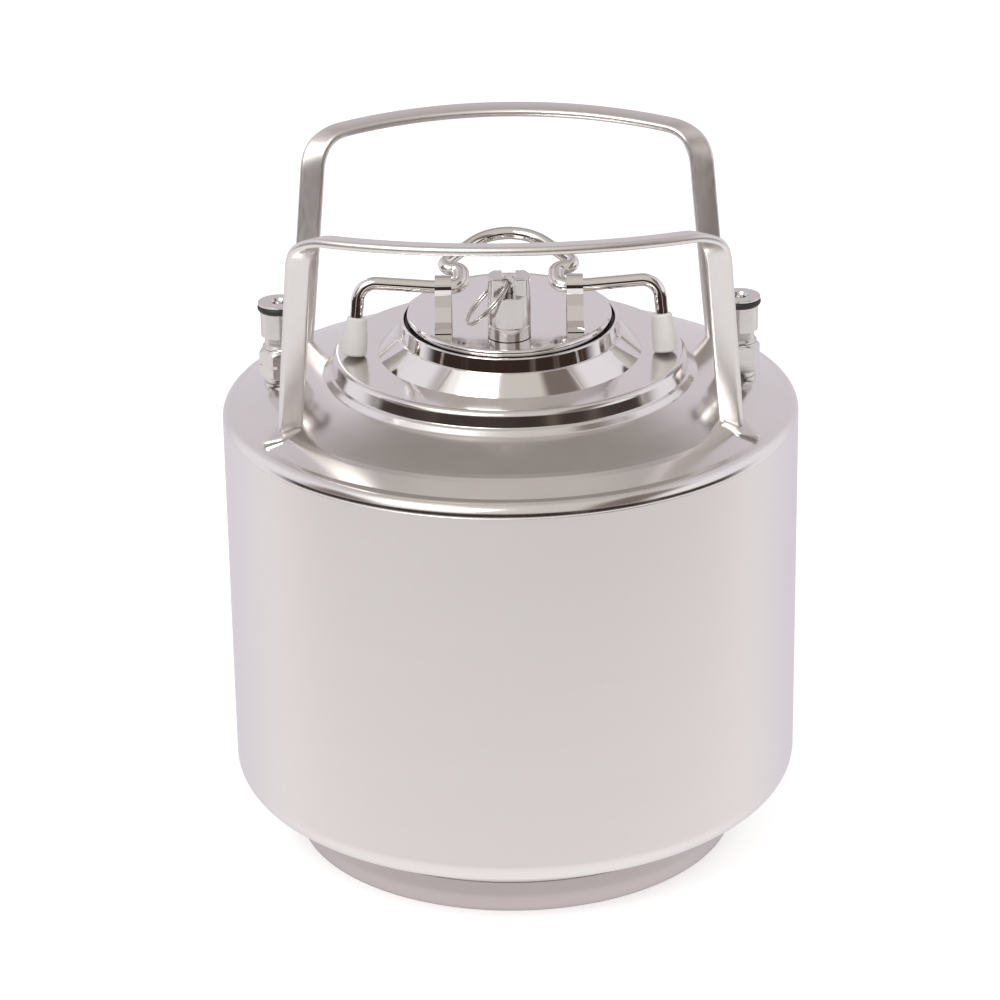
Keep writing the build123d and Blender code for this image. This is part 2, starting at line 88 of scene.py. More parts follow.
CONE_FOOT = (50.6, 53.2)
CONE_TOP_Z = 205.0
NECK = (41.6, 46.8)
NECK_T = 1.3
NECK_TOP_Z = 210.4
LID = (39.2, 44.4)
LID_WALL = (38.2, 43.4)
LID_FLANGE = (44.2, 48.6)
LID_FLANGE_Z = 198.0
LID_TOP_Z = 212.6
LID_T = 1.6
LID_FLAT_Z = 212.35     # flat of the lid, just inside its lip
LID_LIP_W = 1.7
LID_EDGE_H = 3.1        # height of the rolled edge
LID_FLANGE_W = 4.0
LID_FLAT_START = 6.0    # how far inside the edge the plain flat starts
CENTRE_SHARE = 0.0001   # size of a ring that closes a face at its centre
NECK_DRAFT = 0.9        # how much wider the neck band is at its foot
CONE_SHOULDER = 0.7     # level step between the neck band and the cone
NECK_SINK = 0.8         # how far the neck runs below the ledge's face

STRAP_W = 9.6
STRAP_T = 3.3
STRAP_EDGE_R = 1.5
HANDLE_FOOT = (82.5, 45.5, 182.0)
HANDLE_CORNER = (75.5, 61.0, 263.6)
HANDLE_MIDDLE = (0.0, 85.5, 266.6)
HANDLE_CORNER_R = 13.0
FOOT_TWIST = 26.0       # degrees the strap turns between its corner and its foot
FOOT_SINK = 2.0         # how far the strap runs below its foot, into the tab
LEG_STEPS = 24
CORNER_STEPS = 26
BAR_STEPS = 60

TAB_CORNERS = [(-3.0, -5.0), (6.0, -5.6), (13.5, -1.0), (4.0, 5.6), (-3.0, 4.6)]
TAB_RADII = [1.0, 2.4, 1.6, 2.4, 1.0]
TAB_LEVELS = [(1.0, -3.0), (1.0, 1.6), (0.97, 2.0), (0.80, 2.5), (0.5, 2.6), (0.02, 2.6)]   # (size, height)
TAB_SLOPE = 16.0        # degrees, to lie along the dome
TAB_DROP = 0.4

SPRINGS = {             # wire radius and number of turns
    "gas_poppet_spring": (0.35, 4),
    "liquid_poppet_spring": (0.35, 4),
    "prv_spring": (0.4, 5),
}
SPRING_TURN_STEPS = 28

RING_SEGMENTS = 360
RUN_END = 0.12          # extra ring this close to each end of a straight run, so that it shades flat
ARC_STEP = 6.0          # degrees between points on a rounded corner


# ---------------------------------------------------------------- outlines and paths
def rounded_path(points, radii, corner_steps=None):
    """Points along a run of straight lines with round corners, with extra points beside each corner."""
    points = [Vector(p) for p in points]
    path = [points[0]]
    for before, corner, after, radius in zip(points, points[1:], points[2:], radii):
        to_before = (before - corner).normalized()
        to_after = (after - corner).normalized()
        half = to_before.angle(to_after) / 2
        setback = radius / math.tan(half)
        centre = corner + (to_before + to_after).normalized() * (radius / math.sin(half))
        start = corner + to_before * setback - centre
        end = corner + to_after * setback - centre
        turn = start.angle(end)
        steps = corner_steps or max(2, math.ceil(math.degrees(turn) / ARC_STEP))
        for i in range(steps + 1):
            t = i / steps
            spoke = (start * math.sin((1 - t) * turn) + end * math.sin(t * turn)) / math.sin(turn)
            path.append(centre + spoke)
    path.append(points[-1])
    return path if corner_steps else spaced(path)


def spaced(path, near=0.35, apart=4.0):
    """The same path with long straight stretches divided, so that shading stays flat along them."""
    result = [path[0]]
    for a, b in zip(path, path[1:]):
        length = (b - a).length
        if length < 1e-6:
            continue
        stops = []
        if length > 4 * near:
            stops = [near / length, 1 - near / length]
        if length > 2 * apart:
            count = int(length / apart)
            stops = sorted(stops + [i / count for i in range(1, count)])
        result += [a.lerp(b, t) for t in stops]
        result.append(b)
    return result


def outline_3d(points):
    """An outline of (radius, height) as points in the XZ plane."""
    return [Vector((r, 0, z)) for r, z in points]


def shifted(points, distance):
    """Move an open outline sideways to the left of its direction, keeping its corners sharp."""
    normals = []
    for a, b in zip(points, points[1:]):
        length = math.hypot(b[0] - a[0], b[1] - a[1])
        normals.append(((a[1] - b[1]) / length, (b[0] - a[0]) / length))
    moved = []
    for i, (x, y) in enumerate(points):
        before = normals[max(i - 1, 0)]
        after = normals[min(i, len(normals) - 1)]
        share = distance / (1 + before[0] * after[0] + before[1] * after[1])
        moved.append((x + (before[0] + after[0]) * share, y + (before[1] + after[1]) * share))
    return moved


def shifted_radii(points, radii, distance):
    """Corner radii of the shifted outline, smaller on the inside of a turn and larger on the outside."""
    changed = []
    for (a, b, c), radius in zip(zip(points, points[1:], points[2:]), radii):
        turn = (b[0] - a[0]) * (c[1] - b[1]) - (b[1] - a[1]) * (c[0] - b[0])
        changed.append(max(radius - math.copysign(distance, turn), 0.05))
    return changed


def sheet_outline(points, radii, thickness):
    """Closed section of a bent sheet, out along one face and back along the other, as (radius, height)."""
    outer = rounded_path(outline_3d(points), radii)
    inner_radii = shifted_radii(points, radii, thickness)
    inner = rounded_path(outline_3d(shifted(points, thickness)), inner_radii)
    return [(p.x, p.z) for p in outer + inner[::-1]]


# ---------------------------------------------------------------- meshes
def mesh_object(name, rings, loop, caps):
    """Object whose surface joins rings of points, each ring closed. Caps close the first and last ring."""
    work = bmesh.new()
    rows = [[work.verts.new(p * MM) for p in ring] for ring in rings]
    count = len(rows[0])
    pairs = list(zip(rows, rows[1:]))
    if loop:
        pairs.append((rows[-1], rows[0]))
    for low, high in pairs:
        for i in range(count):
            j = (i + 1) % count
            work.faces.new((low[i], low[j], high[j], high[i])).smooth = True
    if caps:
        for row in (rows[0], rows[-1]):
            cap = work.faces.new(row)
            for edge in cap.edges:
                edge.smooth = False
    bmesh.ops.remove_doubles(work, verts=work.verts[:], dist=1e-7)
    bmesh.ops.recalc_face_normals(work, faces=work.faces[:])
    mesh = bpy.data.meshes.new(name)
    work.to_mesh(mesh)
    work.free()
    made = bpy.data.objects.new(name, mesh)
    bpy.context.scene.collection.objects.link(made)
    return made


def ring(half_x, half_y, z):
    """Level oval of points round the keg's axis."""
    turns = [2 * math.pi * i / RING_SEGMENTS for i in range(RING_SEGMENTS)]
    return [Vector((half_x * math.cos(a), half_y * math.sin(a), z)) for a in turns]


def lathe(name, outline):
    """Object turned from a closed outline of (radius, height)."""
    return mesh_object(name, [ring(radius, radius, z) for radius, z in outline], loop=True, caps=False)


def section(width, thickness, edge_r, corner_steps=5):
    """Rounded rectangle as (across, up) points round its middle."""
    edge_r = min(edge_r, width / 2, thickness / 2)
    flat_w, flat_t = width / 2 - edge_r, thickness / 2 - edge_r
    points = []
    for quarter, (sign_x, sign_y) in enumerate(((1, 1), (-1, 1), (-1, -1), (1, -1))):
        for i in range(corner_steps + 1):
            a = math.radians(90) * (quarter + i / corner_steps)
            points.append((sign_x * flat_w + edge_r * math.cos(a), sign_y * flat_t + edge_r * math.sin(a)))
    return points


def swept(name, stations, outline):
    """Object swept through stations of (point, direction, across) with the same section at each one."""
    rings = []
    for at, along, across in stations:
        along = along.normalized()
        across = (across - along * across.dot(along)).normalized()
        up = along.cross(across)
        rings.append([at + across * x + up * y for x, y in outline])
    return mesh_object(name, rings, loop=False, caps=True)


def carried(path, across):
    """Stations along a path whose across direction is carried along without twisting."""
    stations = []
    for i, at in enumerate(path):
        along = (path[min(i + 1, len(path) - 1)] - path[max(i - 1, 0)]).normalized()
        across = (across - along * across.dot(along)).normalized()
        stations.append((at, along, across.copy()))
    return stations


def finished(piece, body, slot, *nodes, material=None):
    """Give a piece its body and finish, and let it stand for its CAD nodes.

    Material is a variant of the slot's own finish.
    """
    piece.data.materials.append(material or MATERIALS[slot])
    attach(piece, body)
    if nodes:
        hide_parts(*nodes)


# ---------------------------------------------------------------- materials
def new_material(name, colour, roughness, metallic=1.0):
    """A node material and its shader."""
    made = bpy.data.materials.new(name)
    made.use_nodes = True
    nodes = made.node_tree.nodes
    shader = nodes["Principled BSDF"]
    shader.inputs["Base Color"].default_value = (*colour, 1)
    shader.inputs["Roughness"].default_value = roughness
    shader.inputs["Metallic"].default_value = metallic
    return made, shader


def grain(made, scale, stretch, detail=4.0, distortion=0.0):
    """Noise in the object's own coordinates, stretched by the given factors. Returns its output."""
    nodes, links = made.node_tree.nodes, made.node_tree.links
    place = nodes.new("ShaderNodeTexCoord")
    mapping = nodes.new("ShaderNodeMapping")
    mapping.inputs["Scale"].default_value = stretch
    noise = nodes.new("ShaderNodeTexNoise")
    noise.inputs["Scale"].default_value = scale
    noise.inputs["Detail"].default_value = detail
    noise.inputs["Distortion"].default_value = distortion
    links.new(place.outputs["Object"], mapping.inputs["Vector"])
    links.new(mapping.outputs["Vector"], noise.inputs["Vector"])
    return noise.outputs["Fac"]


def ranged(made, value, low, high):
    """The value, moved from 0..1 to low..high."""
    node = made.node_tree.nodes.new("ShaderNodeMapRange")
    node.inputs["To Min"].default_value = low
    node.inputs["To Max"].default_value = high
    made.node_tree.links.new(value, node.inputs["Value"])
    return node.outputs["Result"]


def tinted(made, value, first, second):
    """A colour between two by a value."""
    node = made.node_tree.nodes.new("ShaderNodeMix")
    node.data_type = "RGBA"
    node.inputs["A"].default_value = (*first, 1)
    node.inputs["B"].default_value = (*second, 1)
    made.node_tree.links.new(value, node.inputs["Factor"])
    return node.outputs["Result"]


def bumped(made, shader, value, strength, distance):
    """Relief from a value."""
    node = made.node_tree.nodes.new("ShaderNodeBump")
    node.inputs["Strength"].default_value = strength
    node.inputs["Distance"].default_value = distance
    made.node_tree.links.new(value, node.inputs["Height"])
    made.node_tree.links.new(node.outputs["Normal"], shader.inputs["Normal"])


def satin_steel(name="Satin_Steel", dark=(0.800, 0.760, 0.745), pale=(0.825, 0.788, 0.772)):
    """Fine level brushing round the vessel, with a faint cloudiness."""
    made, shader = new_material(name, dark, 0.36)
    links = made.node_tree.links
    streaks = grain(made, 1.0, (14, 14, 2600), detail=3.0)
    clouds = grain(made, 9.0, (1, 1, 1.4), detail=3.0)
    links.new(ranged(made, streaks, 0.33, 0.43), shader.inputs["Roughness"])
    links.new(tinted(made, clouds, dark, pale), shader.inputs["Base Color"])
    bumped(made, shader, streaks, 0.05, 0.0002)
    return made


def polished_steel(name="Polished_Steel", sharpest=0.05, dullest=0.12):
    """Mirror finish with a faint buffing haze and slight waviness."""
    made, shader = new_material(name, (0.78, 0.75, 0.74), sharpest)
    links = made.node_tree.links
    haze = grain(made, 60.0, (1, 1, 1), detail=5.0)
    waves = grain(made, 22.0, (1, 1, 1), detail=1.0)
    links.new(ranged(made, haze, sharpest, dullest), shader.inputs["Roughness"])
    links.new(tinted(made, haze, (0.755, 0.725, 0.712), (0.800, 0.775, 0.765)), shader.inputs["Base Color"])
    bumped(made, shader, waves, 0.04, 0.002)
    return made


def brushed_handle_steel():
    """Linished strap, rougher than the vessel."""
    made, shader = new_material("Brushed_Handle_Steel", (0.76, 0.73, 0.71), 0.36)
    links = made.node_tree.links
    scratches = grain(made, 1.0, (900, 900, 60), detail=4.0)
    links.new(ranged(made, scratches, 0.30, 0.44), shader.inputs["Roughness"])
    links.new(tinted(made, scratches, (0.73, 0.70, 0.685), (0.80, 0.77, 0.755)), shader.inputs["Base Color"])
    bumped(made, shader, scratches, 0.08, 0.0002)
    return made


def machined_steel():
    """Turned fittings with fine level tool marks."""
    made, shader = new_material("Machined_Steel", (0.66, 0.635, 0.62), 0.16)
    links = made.node_tree.links
    marks = grain(made, 1.0, (60, 60, 4200), detail=2.0)
    links.new(ranged(made, marks, 0.11, 0.24), shader.inputs["Roughness"])
    links.new(tinted(made, marks, (0.62, 0.59, 0.575), (0.70, 0.675, 0.66)), shader.inputs["Base Color"])
    bumped(made, shader, marks, 0.06, 0.0002)
    return made


def spring_steel():
    """Bright drawn wire."""
    made, shader = new_material("Spring_Steel", (0.66, 0.63, 0.61), 0.2)
    links = made.node_tree.links
    marks = grain(made, 900.0, (1, 1, 1), detail=3.0)
    links.new(ranged(made, marks, 0.14, 0.28), shader.inputs["Roughness"])
    links.new(tinted(made, marks, (0.62, 0.59, 0.57), (0.70, 0.67, 0.65)), shader.inputs["Base Color"])
    return made


def black_rubber():
    """Moulded rubber with a fine dull grain."""
    made, shader = new_material("Black_Rubber", (0.015, 0.014, 0.014), 0.55, metallic=0.0)
    links = made.node_tree.links
    bloom = grain(made, 1400.0, (1, 1, 1), detail=3.0)
    links.new(ranged(made, bloom, 0.45, 0.65), shader.inputs["Roughness"])
    links.new(tinted(made, bloom, (0.012, 0.011, 0.011), (0.028, 0.026, 0.025)), shader.inputs["Base Color"])
    bumped(made, shader, bloom, 0.15, 0.0002)
    return made


def ivory_boot():
    """Milky soft plastic."""
    made, shader = new_material("Ivory_Boot", (0.82, 0.79, 0.72), 0.38, metallic=0.0)
    shader.inputs["Subsurface Weight"].default_value = 0.35
    shader.inputs["Subsurface Radius"].default_value = (0.004, 0.0035, 0.003)
    links = made.node_tree.links
    mottle = grain(made, 260.0, (1, 1, 1), detail=3.0)
    links.new(ranged(made, mottle, 0.32, 0.46), shader.inputs["Roughness"])
    links.new(tinted(made, mottle, (0.60, 0.585, 0.56), (0.67, 0.655, 0.63)), shader.inputs["Base Color"])
    bumped(made, shader, mottle, 0.08, 0.0003)
    return made


MATERIALS = {
    "satin_steel": satin_steel(),
    "polished_steel": polished_steel(),
    "brushed_handle_steel": brushed_handle_steel(),
    "machined_steel": machined_steel(),
    "spring_steel": spring_steel(),
    "black_rubber": black_rubber(),
    "ivory_boot": ivory_boot(),
}
NODE_SLOTS = {row["node"]: row["material_slot"] for row in frame["record"]["subparts"]}


def dress_cad_nodes():
    """Give every CAD node the procedural material of its slot."""
    for name, node in frame["nodes"].items():
        node.data.materials.clear()
        node.data.materials.append(MATERIALS[NODE_SLOTS[name]])


# ---------------------------------------------------------------- vessel
def body_shell():
    """Drawn cup: wall and pressed bottom."""
    made = lathe("Body_Wall", sheet_outline(SHELL_OUTLINE, SHELL_RADII, WALL))
    finished(made, "keg", "satin_steel", "body_shell")


def base_ring():
    """Skirt under the bottom."""
    made = lathe("Base_Ring", sheet_outline(BASE_OUTLINE, BASE_RADII, BASE_T))
    # Painted shade: the skirt's steel is a darker copy of the satin steel, standing in for the shade and dim
    # reflection low down by the floor.
    painted_shade_steel = satin_steel("Base_Steel_Painted_Shade", (0.50, 0.455, 0.45), (0.56, 0.51, 0.505))
    finished(made, "keg", "satin_steel", "base_ring", material=painted_shade_steel)


def top_dome():
    """Polished shoulder, whose ledge ends at the oval foot of the neck."""
    end_r = DOME_OUTLINE[-1][0]
    turn_r = DOME_OUTLINE[-2][0] - DOME_RADII[-1]
    rings = []
    for r, z in sheet_outline(DOME_OUTLINE, DOME_RADII, WALL):
        share = max(0.0, (turn_r - r) / (turn_r - end_r)) if z > LEDGE_Z - 2 * WALL else 0.0
        half_x = r + share * (CONE_FOOT[0] - LEDGE_LAP - end_r)
        half_y = r + share * (CONE_FOOT[1] - LEDGE_LAP - end_r)
        rings.append(ring(half_x, half_y, z))
    made = mesh_object("Top_Dome", rings, loop=True, caps=False)
    duller = polished_steel("Buffed_Dome_Steel", 0.13, 0.21)
    finished(made, "keg", "polished_steel", "top_dome", material=duller)


def oval_rings(outline_x, outline_y, radii, corner_steps=8):
    """Level ovals from two outlines of (half axis, height), one for each axis, with the same corner radii."""
    along_x = rounded_path(outline_3d(outline_x), radii, corner_steps)
    along_y = rounded_path(outline_3d(outline_y), radii, corner_steps)
    pairs = list(zip(along_x, along_y))
    levels = [pairs[0]]
    for (start_x, start_y), (end_x, end_y) in zip(pairs, pairs[1:]):
        length = (end_x - start_x).length
        if length > 4 * RUN_END:
            for t in (RUN_END / length, 1 - RUN_END / length):
                levels.append((start_x.lerp(end_x, t), start_y.lerp(end_y, t)))
        levels.append((end_x, end_y))
    return [ring(a.x, b.x, (a.z + b.z) / 2) for a, b in levels]


def neck():
    """Oval cone, rolled shoulder and slightly tapered band."""
    def outline(axis):
        top, foot = NECK[axis], NECK[axis] + NECK_DRAFT
        shoulder = foot + CONE_SHOULDER
        lean = (CONE_FOOT[axis] - shoulder) / (CONE_TOP_Z - LEDGE_Z)
        return [
            (CONE_FOOT[axis] + lean * NECK_SINK, LEDGE_Z - NECK_SINK),
            (shoulder, CONE_TOP_Z),
            (foot, CONE_TOP_Z),
            (top, NECK_TOP_Z),
            (top - NECK_T, NECK_TOP_Z),
            (top - NECK_T, LEDGE_Z - NECK_SINK),
        ]

    rings = oval_rings(outline(0), outline(1), [0.5, 0.15, 0.6, 0.6])
    made = mesh_object("Neck", rings, loop=True, caps=False)
    finished(made, "keg", "polished_steel", "neck")


def lid_pan():
    """Pressed oval lid: a flat inside a low lip, a rolled edge, a side wall and the flange below."""
    def outline(axis):
        edge, wall, flange = LID[axis], LID_WALL[axis], LID_FLANGE[axis]
        return [
            (flange - LID_FLANGE_W, LID_FLANGE_Z),
            (flange, LID_FLANGE_Z),
            (flange, LID_FLANGE_Z + LID_T),
            (wall, LID_FLANGE_Z + LID_T),
            (wall, LID_TOP_Z - LID_EDGE_H),
            (edge, LID_TOP_Z - LID_EDGE_H),
            (edge, LID_TOP_Z),
            (edge - LID_LIP_W, LID_TOP_Z),
            (edge - LID_LIP_W - 0.5, LID_FLAT_Z),
            (edge - LID_FLAT_START, LID_FLAT_Z),
        ]

    rings = oval_rings(outline(0), outline(1), [0.4, 0.4, 0.6, 0.4, 0.5, 1.2, 0.4, 0.5])
    flat_x, flat_y = (half - LID_FLAT_START for half in LID)
    under_x, under_y = (half - LID_T for half in LID_WALL)
    for share in (0.75, 0.5, 0.25, CENTRE_SHARE):
        rings.append(ring(flat_x * share, flat_y * share, LID_FLAT_Z))
    for share in (CENTRE_SHARE, 0.5, 1.0):
        rings.append(ring(under_x * share, under_y * share, LID_TOP_Z - LID_T))
    made = mesh_object("Lid_Pan", rings, loop=True, caps=False)
    finished(made, "lid", "polished_steel", "lid_pan")


# ---------------------------------------------------------------- handles
def arc_centre(start, middle, end):
    """Centre of the arc through three points."""
    a, b = middle - start, end - start
    n = a.cross(b)
    return start + (n.cross(a) * b.length_squared + b.cross(n) * a.length_squared) / (2 * n.length_squared)


def handle_stations(side):
    """Point, direction and wide side of one handle's strap, from its right foot to its left foot."""
    marks = (HANDLE_FOOT, HANDLE_CORNER, HANDLE_MIDDLE)
    foot, corner, middle = (Vector((x, side * y, z)) for x, y, z in marks)
    far = Vector((-corner.x, corner.y, corner.z))
    centre = arc_centre(corner, middle, far)
    first, last = corner - centre, far - centre
    sweep = first.angle(last)
    bar_start = HANDLE_CORNER_R / (sweep * first.length)

    def bar_point(u):
        return centre + (first * math.sin((1 - u) * sweep) + last * math.sin(u * sweep)) / math.sin(sweep)

    leg_line = (corner - foot).normalized()
    leg_end = corner - leg_line * HANDLE_CORNER_R
    bar_end = bar_point(bar_start)
    bar_wide = (bar_end - centre).normalized()
    leg_wide = Vector((1, 0, 0))
    right = []
    for i in range(LEG_STEPS):
        t = i / LEG_STEPS
        twist = Matrix.Rotation(side * math.radians(FOOT_TWIST) * (1 - t) ** 1.5, 3, leg_line)
        right.append(((foot - leg_line * FOOT_SINK).lerp(leg_end, t), leg_line, twist @ leg_wide))
    for i in range(CORNER_STEPS + 1):
        t = i / CORNER_STEPS
        over = t * t * (3 - 2 * t)
        at = leg_end * (1 - t) ** 2 + corner * (2 * t * (1 - t)) + bar_end * t ** 2
        along = (corner - leg_end) * (1 - t) + (bar_end - corner) * t
        right.append((at, along, leg_wide * (1 - over) + bar_wide * over))
    bar = []
    for i in range(1, BAR_STEPS):
        u = bar_start + (1 - 2 * bar_start) * i / BAR_STEPS
        along = bar_point(u + 1e-3) - bar_point(u - 1e-3)
        bar.append((bar_point(u), along, (bar_point(u) - centre).normalized()))
    left = []
    for at, along, wide in reversed(right):
        left.append((
            Vector((-at.x, at.y, at.z)),
            Vector((along.x, -along.y, -along.z)),
            Vector((-wide.x, wide.y, wide.z)),
        ))
    return right + bar + left


def foot_tab(name, side_x, side_y):
    """Bevelled three-cornered tab that welds a leg to the dome."""
    outline = rounded_loop([Vector((x, y, 0)) for x, y in TAB_CORNERS], TAB_RADII)
    middle = sum(outline, Vector()) / len(outline)
    away = math.atan2(HANDLE_FOOT[1], HANDLE_FOOT[0])
    turn = Matrix.Rotation(-away, 3, "Z") @ Matrix.Rotation(math.radians(TAB_SLOPE), 3, "Y")
    foot = Vector((HANDLE_FOOT[0], -HANDLE_FOOT[1], HANDLE_FOOT[2] - TAB_DROP))
    rings = []
    for share, height in TAB_LEVELS:
        level = [middle.lerp(p, share) + Vector((0, 0, height)) for p in outline]
        placed = [foot + turn @ p for p in level]
        rings.append([Vector((side_x * p.x, -side_y * p.y, p.z)) for p in placed])
    made = mesh_object(name, rings, loop=False, caps=True)
    finished(made, "keg", "brushed_handle_steel")


def rounded_loop(points, radii):
    """Closed polygon with round corners."""
    start = (points[-1] + points[0]) / 2
    return rounded_path([start, *points, start], radii, 6)[:-1]


def handle(name, node, side):
    """One grab handle bent and twisted from flat strap, with its two welded tabs."""
    stations = handle_stations(side)
    outline = section(STRAP_W, STRAP_T, STRAP_EDGE_R)
    made = swept(name, stations, outline)
    finished(made, "keg", "brushed_handle_steel", node)
    for side_x, word in ((-1, "Left"), (1, "Right")):
        foot_tab(name + "_Tab_" + word, side_x, side)


# ---------------------------------------------------------------- springs
def spring(node, body):
    """Coil inside a valve, made at the length of its CAD node; the real coil shortens towards its fixed end
    as the valve opens.
    """
    low, high = (Vector(corner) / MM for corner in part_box(node))
    wire_r, turns = SPRINGS[node]
    middle = (low + high) / 2
    coil_r = (high.x - low.x) / 2 - wire_r
    steps = turns * SPRING_TURN_STEPS
    path = []
    for i in range(steps + 1):
        t = i / steps
        turn = 2 * math.pi * turns * t
        z = low.z + wire_r + (high.z - low.z - 2 * wire_r) * t
        path.append(Vector((middle.x + coil_r * math.cos(turn), middle.y + coil_r * math.sin(turn), z)))
    stations = carried(path, Vector((0, 0, 1)))
    outline = section(2 * wire_r, 2 * wire_r, wire_r, corner_steps=3)
    made = swept(node.title(), stations, outline)
    finished(made, body, "spring_steel", node)
    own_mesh(made)


def springs():
    """Every spring that the record says a joint shortens."""
    for joint in frame["record"]["behaviour"]["joints"]:
        for row in joint.get("deforming_nodes", []):
            spring(row["node"], joint["parent"])


# ---------------------------------------------------------------- studio
CAMERA_PLACE = (0, -1.3222, 0.6943)      # metres
CAMERA_TARGET = (0, 0, 0.150)
CAMERA_LENS = 132.4
CAMERA_ROLL = -0.79
CAMERA_SHIFT = (-0.0113, -0.0384)


def camera():
    """Camera at the photograph's viewing angle."""
    data = bpy.data.cameras.new("Camera")
    data.lens = CAMERA_LENS
    data.sensor_width = 36.0
    data.shift_x, data.shift_y = CAMERA_SHIFT
    made = bpy.data.objects.new("Camera", data)
    look = Vector(CAMERA_TARGET) - Vector(CAMERA_PLACE)
    aim = look.to_track_quat("-Z", "Y").to_matrix().to_4x4()
    roll = Matrix.Rotation(math.radians(CAMERA_ROLL), 4, "Z")
    made.matrix_world = Matrix.Translation(CAMERA_PLACE) @ aim @ roll
    bpy.context.scene.collection.objects.link(made)
    bpy.context.scene.camera = made


def area_light(name, location, size, power, reflected=True):
    """Soft rectangular light facing the keg. Reflected says whether the steel mirrors it."""
    data = bpy.data.lights.new(name, "AREA")
    data.shape = "RECTANGLE"
    data.size, data.size_y = size
    data.energy = power
    made = bpy.data.objects.new(name, data)
    made.location = location
    made.rotation_euler = (Vector(CAMERA_TARGET) - Vector(location)).to_track_quat("-Z", "Y").to_euler()
    bpy.context.scene.collection.objects.link(made)
    made.visible_glossy = reflected


# Colours of the surround, and of the panels above the front as (direction across, colour).
BACK_TONE = (0.74, 0.70, 0.74)
SIDE_TONE = (0.95, 0.92, 0.96)
CEILING_TONE = (0.33, 0.30, 0.275)
TOP_TONE = (0.62, 0.58, 0.55)
DARK_TONE = (0.040, 0.026, 0.022)
DARK_STREAK_TONE = (0.30, 0.23, 0.19)
FLOOR_TONE = (1.05, 1.03, 1.03)
FLOOR_BACK_TONE = (0.80, 0.77, 0.86)
WHITE_PANEL = (1.12, 1.10, 1.07)
GREY_PANEL = (0.72, 0.68, 0.64)
PANEL_GAP = (0.22, 0.18, 0.16)
FAR_PANEL = (1.0, 1.0, 1.0)
PANEL_TONES = [
    (-0.82, PANEL_GAP), (-0.72, WHITE_PANEL), (-0.27, WHITE_PANEL), (-0.18, GREY_PANEL), (0.42, GREY_PANEL),
    (0.50, PANEL_GAP), (0.74, PANEL_GAP), (0.82, FAR_PANEL),
]


class Direction:
    """Maths on the world's direction vector, for painting what the steel reflects."""

    def __init__(self, tree):
        self.nodes, self.links = tree.nodes, tree.links
        place = self.nodes.new("ShaderNodeTexCoord")
        parts = self.nodes.new("ShaderNodeSeparateXYZ")
        self.links.new(place.outputs["Generated"], parts.inputs["Vector"])
        self.vector = place.outputs["Generated"]
        self.x, self.y, self.z = parts.outputs["X"], parts.outputs["Y"], parts.outputs["Z"]

    def smooth(self, value, start, end):
        """0 before start and 1 after end, eased in between."""
        node = self.nodes.new("ShaderNodeMapRange")
        node.interpolation_type = "SMOOTHSTEP"
        node.inputs["From Min"].default_value = start
        node.inputs["From Max"].default_value = end
        self.links.new(value, node.inputs["Value"])
        return node.outputs["Result"]

    def combined(self, operation, first, second=None, third=None):
        """One maths operation on up to three values, each a socket or a number."""
        node = self.nodes.new("ShaderNodeMath")
        node.operation = operation
        for socket, value in zip(node.inputs, (first, second, third)):
            if isinstance(value, (int, float)):
                socket.default_value = value
            elif value is not None:
                self.links.new(value, socket)
        return node.outputs[0]

    def mixed(self, share, first, second):
        """A colour between two, each a socket or three numbers."""
        node = self.nodes.new("ShaderNodeMix")
        node.data_type = "RGBA"
        self.links.new(share, node.inputs["Factor"])
        for name, value in (("A", first), ("B", second)):
            if isinstance(value, tuple):
                node.inputs[name].default_value = (*value, 1)
            else:
                self.links.new(value, node.inputs[name])
        return node.outputs["Result"]

    def ramped(self, value, stops):
        """A colour that changes with a value from -1 to 1, from a list of (value, colour)."""
        node = self.nodes.new("ShaderNodeValToRGB")
        elements = node.color_ramp.elements
        places = [(at + 1) / 2 for at, colour in stops]
        elements[0].position = places[0]
        elements[1].position = places[-1]
        for place in places[1:-1]:
            elements.new(place)
        for element, (at, colour) in zip(elements, stops):
            element.color = (*colour, 1)
        self.links.new(self.combined("MULTIPLY_ADD", value, 0.5, 0.5), node.inputs["Fac"])
        return node.outputs["Color"]

    def streaks(self, scale, low, high):
        """Upright streaks that change with the compass direction only."""
        flat = self.nodes.new("ShaderNodeMapping")
        flat.inputs["Scale"].default_value = (1, 1, 0.12)
        noise = self.nodes.new("ShaderNodeTexNoise")
        noise.inputs["Scale"].default_value = scale
        noise.inputs["Detail"].default_value = 1.5
        self.links.new(self.vector, flat.inputs["Vector"])
        self.links.new(flat.outputs["Vector"], noise.inputs["Vector"])
        return self.smooth(noise.outputs["Fac"], low, high)


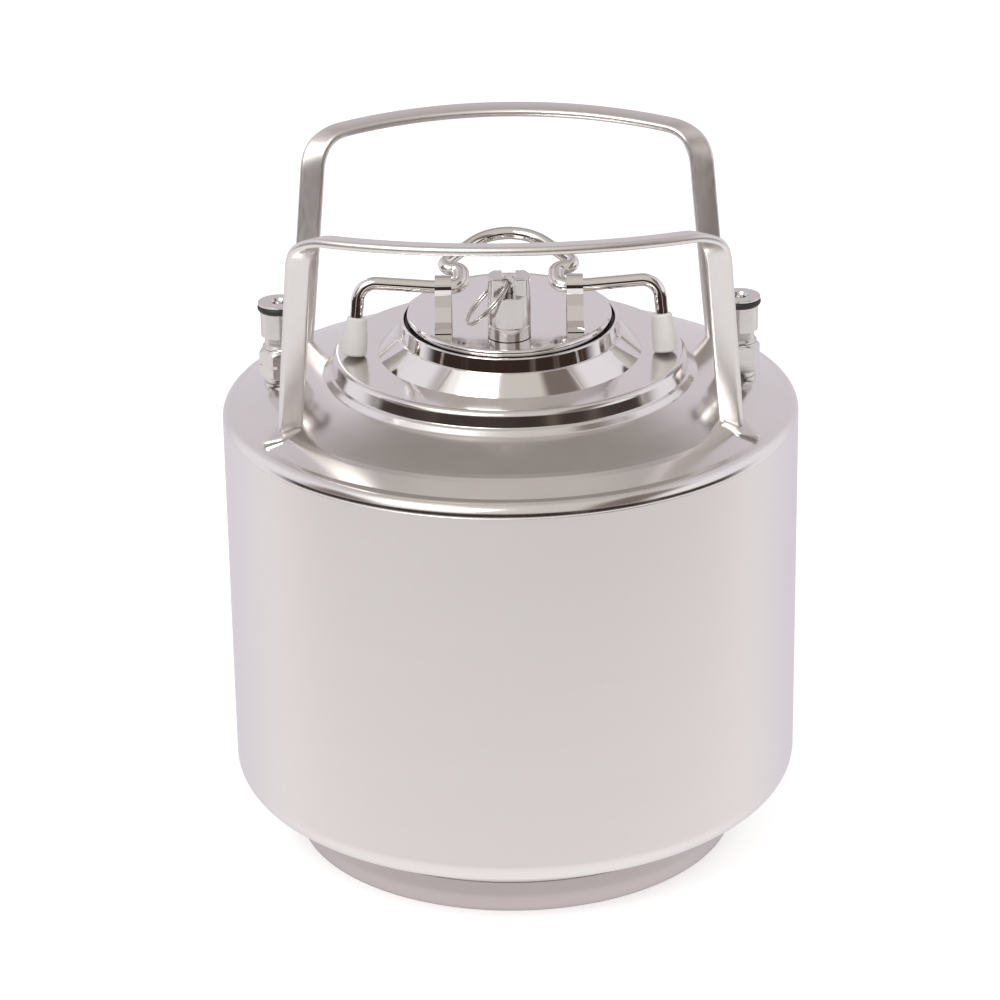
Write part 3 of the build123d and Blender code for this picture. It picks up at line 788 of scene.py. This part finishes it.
def world():
    """Studio surround for the steel to reflect.

    It is lilac-grey behind, brown-grey high up, pale below, and dark brown in front under a row of panels.
    """
    made = bpy.data.worlds.new("Studio")
    bpy.context.scene.world = made
    made.use_nodes = True
    d = Direction(made.node_tree)
    below = d.combined("MULTIPLY", d.z, -1.0)
    front = d.combined("MULTIPLY", d.y, -1.0)
    lift = d.combined("MULTIPLY", d.combined("MULTIPLY", d.x, d.x), 0.2)
    height = d.combined("ADD", d.z, lift)

    across = d.combined("ABSOLUTE", d.x)
    colour = d.mixed(d.smooth(across, 0.55, 0.85), BACK_TONE, SIDE_TONE)
    ceiling = d.combined("MULTIPLY", d.smooth(d.z, 0.5, 0.68), d.smooth(across, 0.5, 0.15))
    colour = d.mixed(ceiling, colour, CEILING_TONE)
    colour = d.mixed(d.smooth(d.z, 0.8, 0.9), colour, TOP_TONE)

    high_front = d.combined("MULTIPLY", d.smooth(front, -0.05, 0.2), d.smooth(height, 0.27, 0.36))
    panels = d.ramped(d.x, PANEL_TONES)
    colour = d.mixed(high_front, colour, panels)

    low_front = d.combined("MULTIPLY", d.smooth(front, -0.3, 0.05), d.smooth(height, 0.32, 0.24))
    room = d.mixed(d.streaks(7.0, 0.58, 0.78), DARK_TONE, DARK_STREAK_TONE)
    colour = d.mixed(low_front, colour, room)
    floor_colour = d.mixed(d.smooth(d.y, 0.2, 0.8), FLOOR_TONE, FLOOR_BACK_TONE)
    colour = d.mixed(d.smooth(below, 0.24, 0.32), colour, floor_colour)

    background = d.nodes["Background"]
    d.links.new(colour, background.inputs["Color"])
    background.inputs["Strength"].default_value = 1.0


STAGE_R = 6.0            # metres from the keg to the edge of the floor


def stage_piece(name, mesh, paint_colour, roughness, glow):
    """A matt glowing part of the studio that the steel doesn't reflect."""
    made = bpy.data.objects.new(name, mesh)
    bpy.context.scene.collection.objects.link(made)
    paint, shader = new_material(name + "_Paint", paint_colour, roughness, metallic=0.0)
    shader.inputs["Specular IOR Level"].default_value = 0.0
    shader.inputs["Emission Color"].default_value = (1, 1, 1, 1)
    shader.inputs["Emission Strength"].default_value = glow
    mesh.materials.append(paint)
    made.visible_glossy = False
    return made


def floor():
    """Pale studio floor."""
    mesh = bpy.data.meshes.new("Floor")
    corners = [(x * STAGE_R, y * STAGE_R, 0) for x, y in ((-1, -1), (1, -1), (1, 1), (-1, 1))]
    mesh.from_pydata(corners, [], [(0, 1, 2, 3)])
    stage_piece("Floor", mesh, (0.80, 0.80, 0.80), 0.9, 0.45)


def backdrop():
    """Plain white surround far behind the floor, seen only directly."""
    work = bmesh.new()
    bmesh.ops.create_uvsphere(work, u_segments=48, v_segments=24, radius=STAGE_R - 0.1)
    mesh = bpy.data.meshes.new("Backdrop")
    work.to_mesh(mesh)
    work.free()
    made = stage_piece("Backdrop", mesh, (0, 0, 0), 1.0, 1.0)
    made.visible_diffuse = False
    made.visible_transmission = False
    made.visible_shadow = False


dress_cad_nodes()
body_shell()
base_ring()
top_dome()
neck()
lid_pan()
handle("Front_Handle", "front_handle", -1)
handle("Rear_Handle", "rear_handle", 1)
springs()
camera()
world()
floor()
backdrop()
area_light("Key", (-0.9, -1.3, 1.7), (1.2, 0.9), 22)
area_light("Fill", (1.2, -0.9, 1.3), (0.9, 0.9), 10, reflected=False)
bpy.context.scene.view_settings.view_transform = "Standard"
